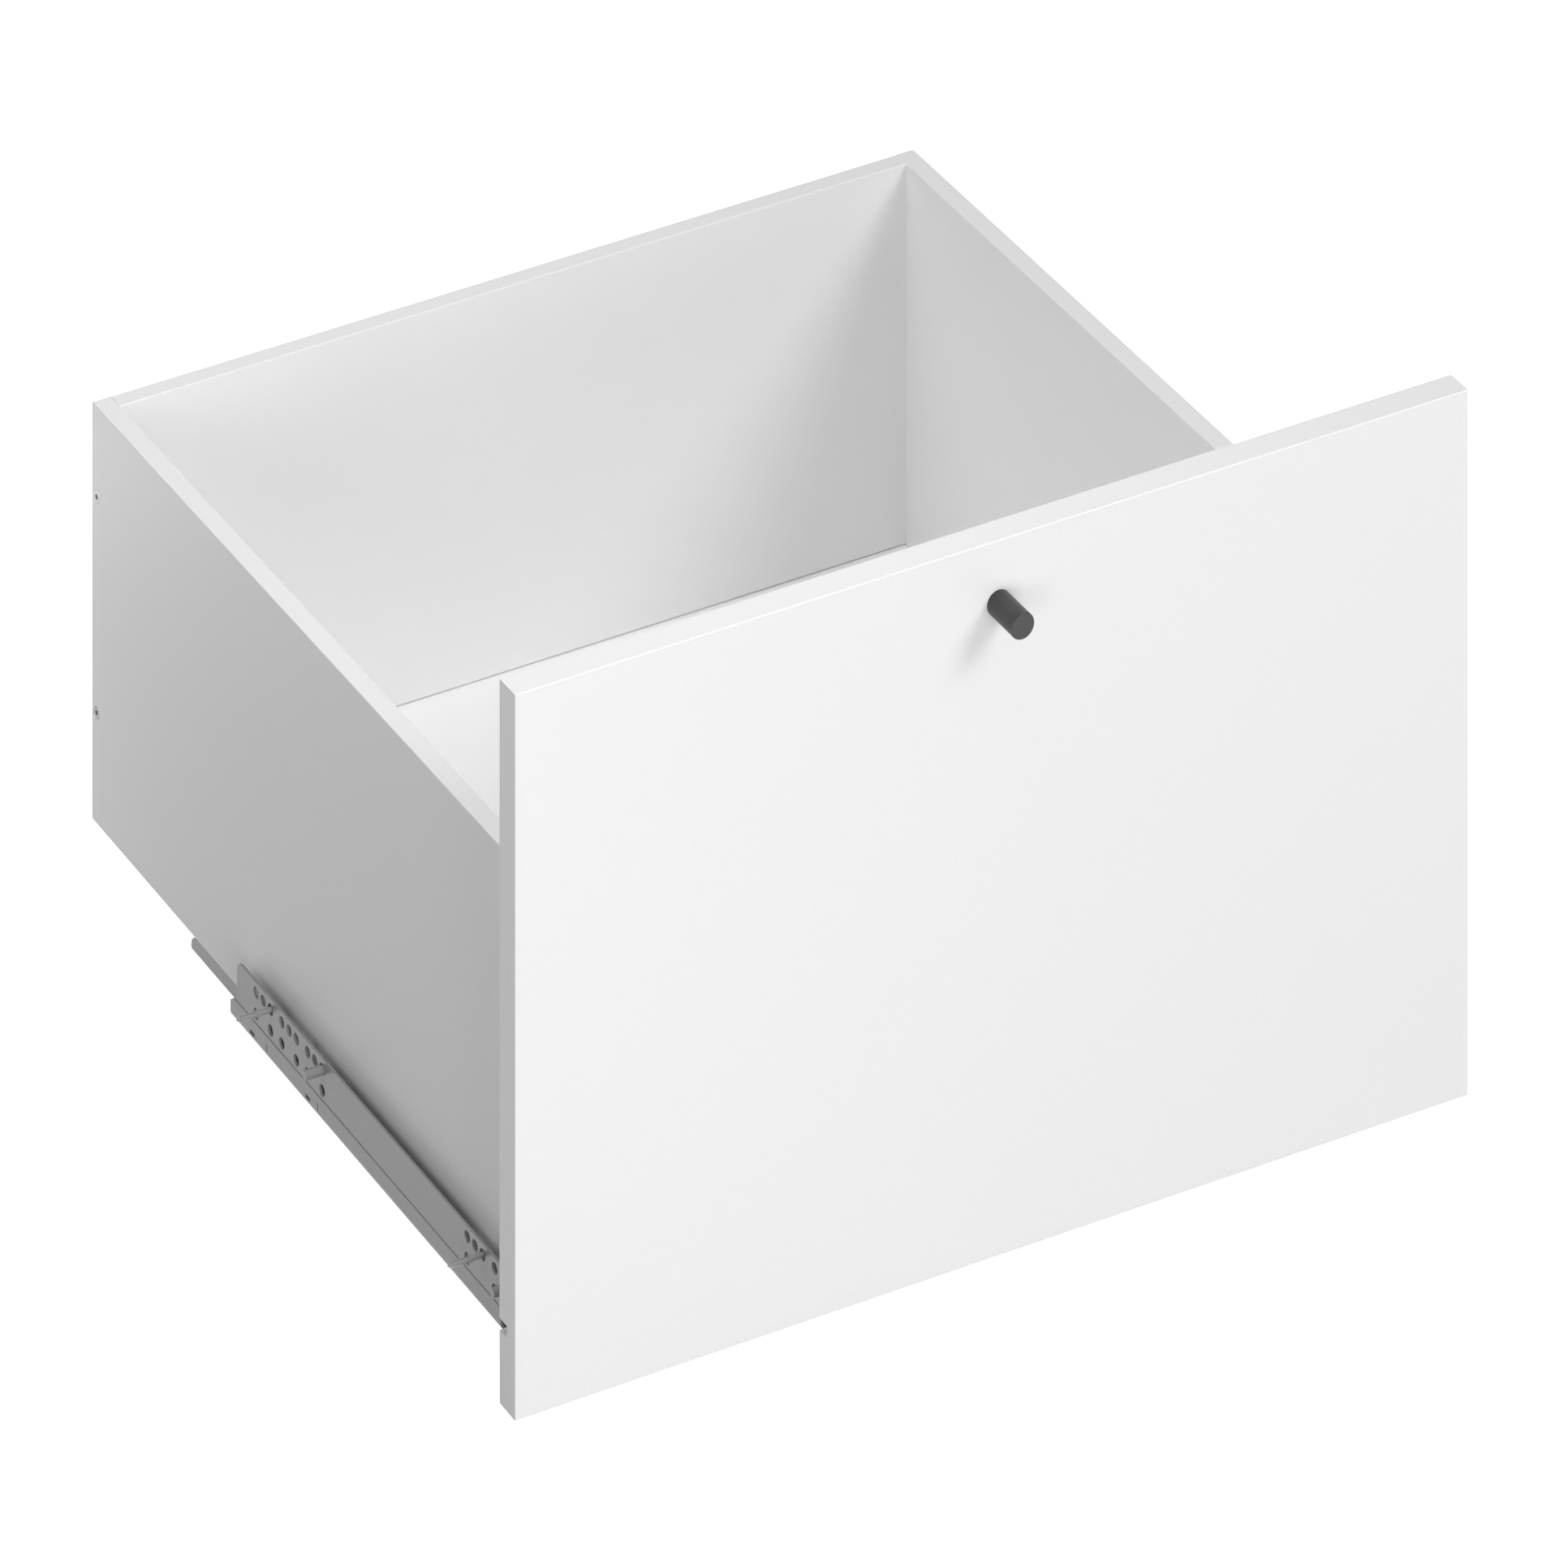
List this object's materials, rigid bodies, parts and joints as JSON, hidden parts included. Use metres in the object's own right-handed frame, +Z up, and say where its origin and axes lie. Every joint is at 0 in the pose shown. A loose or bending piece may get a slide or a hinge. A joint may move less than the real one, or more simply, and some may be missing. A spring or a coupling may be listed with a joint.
{
  "type": "cabinet drawer with undermount slides",
  "caption": "Open-topped white drawer with a tall front and black knob, carried on grey ball-bearing undermount slides whose flanges screw to the cabinet sides.",
  "frame": {"origin": "middle of the width, on the back face of the drawer front where it meets the cabinet's front edge, level with the bottom edge of the drawer sides", "axes": "+X to the right seen from the front, +Y into the cabinet, +Z up"},
  "size_m": [0.6078, 0.5991, 0.396],
  "materials": {
    "white_board": "white foil, satin",
    "grey_steel": "zinc-grey, satin",
    "bright_steel": "zinc plated",
    "ball_steel": "polished",
    "dark_screw": "zinc, dull",
    "black_knob": "matt black",
    "cage_plastic": "natural moulded",
    "unit_plastic": "grey moulded",
    "catch_plastic": "light moulded",
    "stop_rubber": "moulded rubber",
    "beech": "beech dowel",
    "cam_zinc": "die-cast zinc"
  },
  "bodies": {
    "cabinet_side": {"cabinet_bracket_left": "grey_steel", "cabinet_bracket_right": "grey_steel", "guide_rail_left": "grey_steel", "guide_rail_right": "grey_steel", "mounting_screws_left": "dark_screw", "mounting_screws_right": "dark_screw", "rear_stop_left": "stop_rubber", "rear_stop_right": "stop_rubber", "soft_close_housing_left": "unit_plastic", "soft_close_housing_right": "unit_plastic", "damper_cylinder_left": "unit_plastic", "damper_cylinder_right": "unit_plastic", "closing_spring_left": "bright_steel", "closing_spring_right": "bright_steel"},
    "drawer": {"drawer_front": "white_board", "drawer_side_left": "white_board", "drawer_side_right": "white_board", "drawer_back": "white_board", "drawer_bottom": "white_board", "front_knob": "black_knob", "knob_screw": "bright_steel", "back_screws": "dark_screw", "bottom_screws": "dark_screw", "cam_bolts": "bright_steel", "cam_locks": "cam_zinc", "dowels": "beech", "drawer_rail_left": "grey_steel", "drawer_rail_right": "grey_steel", "rail_screws_left": "bright_steel", "rail_screws_right": "bright_steel", "activator_left": "bright_steel", "activator_right": "bright_steel"},
    "middle_rail_left": {"middle_rail_left": "grey_steel"},
    "lower_cage_left": {"lower_cage_left": "cage_plastic", "lower_balls_left": "ball_steel"},
    "upper_cage_left": {"upper_cage_left": "cage_plastic", "upper_balls_left": "ball_steel"},
    "catch_left": {"catch_slider_left": "catch_plastic", "latch_pin_left": "bright_steel", "damper_rod_left": "bright_steel"},
    "latch_left": {"catch_latch_left": "catch_plastic"},
    "middle_rail_right": {"middle_rail_right": "grey_steel"},
    "lower_cage_right": {"lower_cage_right": "cage_plastic", "lower_balls_right": "ball_steel"},
    "upper_cage_right": {"upper_cage_right": "cage_plastic", "upper_balls_right": "ball_steel"},
    "catch_right": {"catch_slider_right": "catch_plastic", "latch_pin_right": "bright_steel", "damper_rod_right": "bright_steel"},
    "latch_right": {"catch_latch_right": "catch_plastic"}
  },
  "joints": [
    {"name": "drawer_slide", "type": "slide", "parent": "cabinet_side", "child": "drawer", "axis": [0, -1, 0], "range_m": [0, 0.34]},
    {"name": "middle_rail_left_slide", "type": "slide", "parent": "cabinet_side", "child": "middle_rail_left", "axis": [0, -1, 0], "range_m": [0, 0.17]},
    {"name": "lower_cage_left_slide", "type": "slide", "parent": "cabinet_side", "child": "lower_cage_left", "axis": [0, -1, 0], "range_m": [0, 0.085]},
    {"name": "upper_cage_left_slide", "type": "slide", "parent": "cabinet_side", "child": "upper_cage_left", "axis": [0, -1, 0], "range_m": [0, 0.255]},
    {"name": "catch_left_slide", "type": "slide", "parent": "cabinet_side", "child": "catch_left", "axis": [0, -1, 0], "range_m": [0, 0.045], "deforming": ["closing_spring_left"]},
    {"name": "latch_left_swing", "type": "hinge", "parent": "catch_left", "child": "latch_left", "pos_m": [-0.2345, 0.211, -0.002], "axis": [1, 0, 0], "range_deg": [0, 14]},
    {"name": "middle_rail_right_slide", "type": "slide", "parent": "cabinet_side", "child": "middle_rail_right", "axis": [0, -1, 0], "range_m": [0, 0.17]},
    {"name": "lower_cage_right_slide", "type": "slide", "parent": "cabinet_side", "child": "lower_cage_right", "axis": [0, -1, 0], "range_m": [0, 0.085]},
    {"name": "upper_cage_right_slide", "type": "slide", "parent": "cabinet_side", "child": "upper_cage_right", "axis": [0, -1, 0], "range_m": [0, 0.255]},
    {"name": "catch_right_slide", "type": "slide", "parent": "cabinet_side", "child": "catch_right", "axis": [0, -1, 0], "range_m": [0, 0.045], "deforming": ["closing_spring_right"]},
    {"name": "latch_right_swing", "type": "hinge", "parent": "catch_right", "child": "latch_right", "pos_m": [0.2345, 0.211, -0.002], "axis": [1, 0, 0], "range_deg": [0, 14]}
  ],
  "couplings": [
    {"joint": "middle_rail_left_slide", "follows": "drawer_slide", "ratio": 0.5},
    {"joint": "lower_cage_left_slide", "follows": "drawer_slide", "ratio": 0.25},
    {"joint": "upper_cage_left_slide", "follows": "drawer_slide", "ratio": 0.75},
    {"joint": "catch_left_slide", "follows": "drawer_slide", "ratio": 0.132},
    {"joint": "middle_rail_right_slide", "follows": "drawer_slide", "ratio": 0.5},
    {"joint": "lower_cage_right_slide", "follows": "drawer_slide", "ratio": 0.25},
    {"joint": "upper_cage_right_slide", "follows": "drawer_slide", "ratio": 0.75},
    {"joint": "catch_right_slide", "follows": "drawer_slide", "ratio": 0.132}
  ]
}
